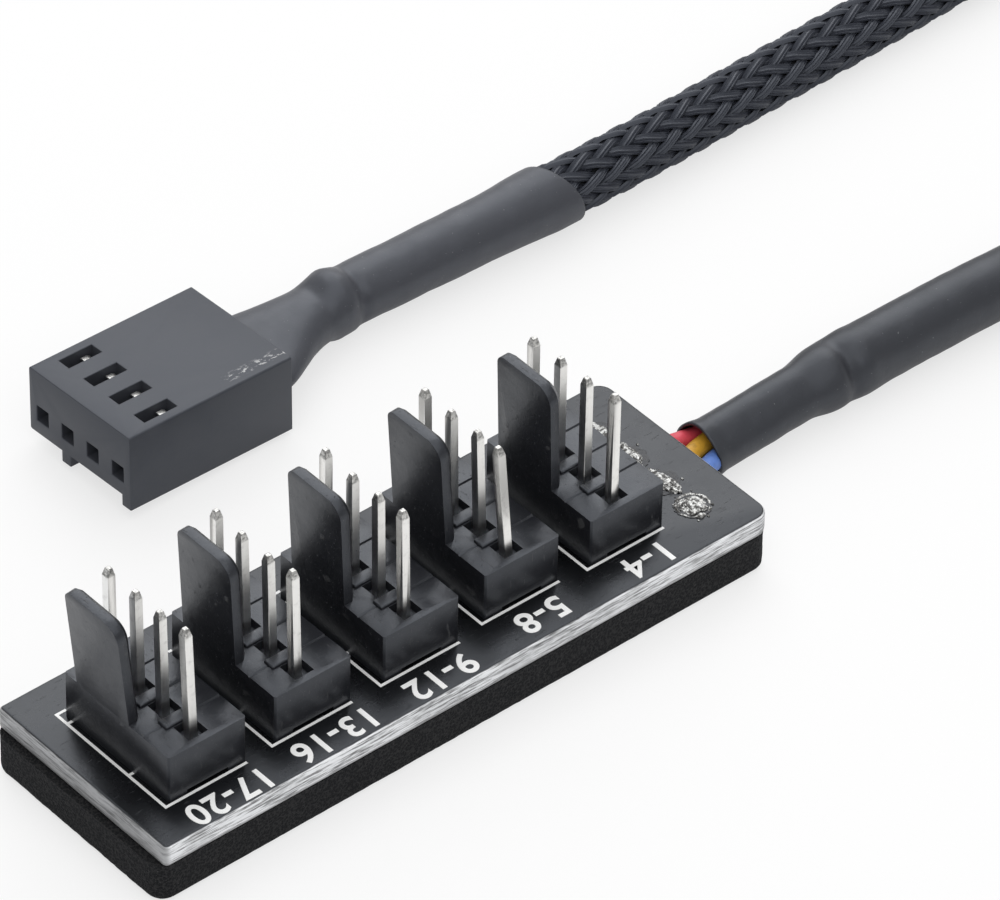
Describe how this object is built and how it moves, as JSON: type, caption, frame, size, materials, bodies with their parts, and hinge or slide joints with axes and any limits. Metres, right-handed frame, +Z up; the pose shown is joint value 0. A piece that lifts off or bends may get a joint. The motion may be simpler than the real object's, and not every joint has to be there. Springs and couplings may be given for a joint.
{
  "type": "pc fan controller hub",
  "caption": "Bar-shaped board on a foam pad with a row of upright fan headers, and a braided cable that leads from its end to a fan plug.",
  "frame": {"origin": "middle of the foam pad's underside", "axes": "+X along the board towards the end where the cable leaves, -Y towards the long edge with the printed numbers, +Z up along the header pins"},
  "size_m": [0.1771, 0.0435, 0.0163],
  "materials": {
    "board_mask": "gloss solder mask",
    "foam": "matte open foam",
    "heat_shrink": "satin",
    "braid": "satin",
    "plug_plastic": "satin",
    "header_plastic": "satin",
    "solder": "rough",
    "tinned_pin": "polished",
    "tinned_copper": "cut",
    "tinned_contact": "satin",
    "wire_red": "satin",
    "wire_yellow": "satin",
    "wire_blue": "satin",
    "wire_black": "satin"
  },
  "bodies": {
    "root": {"circuit_board": "board_mask", "foam_pad": "foam", "hub_heat_shrink": "heat_shrink", "plug_heat_shrink": "heat_shrink", "braided_cable": "braid", "plug_housing": "plug_plastic", "header_housing_1": "header_plastic", "pin_solder_1": "solder", "header_1_pin_1": "tinned_pin", "header_1_pin_2": "tinned_pin", "header_1_pin_3": "tinned_pin", "header_1_pin_4": "tinned_pin", "header_housing_2": "header_plastic", "pin_solder_2": "solder", "header_2_pin_1": "tinned_pin", "header_2_pin_2": "tinned_pin", "header_2_pin_3": "tinned_pin", "header_2_pin_4": "tinned_pin", "header_housing_3": "header_plastic", "pin_solder_3": "solder", "header_3_pin_1": "tinned_pin", "header_3_pin_2": "tinned_pin", "header_3_pin_3": "tinned_pin", "header_3_pin_4": "tinned_pin", "header_housing_4": "header_plastic", "pin_solder_4": "solder", "header_4_pin_1": "tinned_pin", "header_4_pin_2": "tinned_pin", "header_4_pin_3": "tinned_pin", "header_4_pin_4": "tinned_pin", "header_housing_5": "header_plastic", "pin_solder_5": "solder", "header_5_pin_1": "tinned_pin", "header_5_pin_2": "tinned_pin", "header_5_pin_3": "tinned_pin", "header_5_pin_4": "tinned_pin", "hub_wire_blue": "wire_blue", "wire_end_blue": "tinned_copper", "wire_joint_blue": "solder", "plug_wire_blue": "wire_blue", "plug_contact_1": "tinned_contact", "hub_wire_yellow": "wire_yellow", "wire_end_yellow": "tinned_copper", "wire_joint_yellow": "solder", "plug_wire_yellow": "wire_yellow", "plug_contact_2": "tinned_contact", "hub_wire_black": "wire_black", "wire_end_black": "tinned_copper", "wire_joint_black": "solder", "plug_wire_black": "wire_black", "plug_contact_3": "tinned_contact", "hub_wire_red": "wire_red", "wire_end_red": "tinned_copper", "wire_joint_red": "solder", "plug_wire_red": "wire_red", "plug_contact_4": "tinned_contact"}
  },
  "joints": []
}
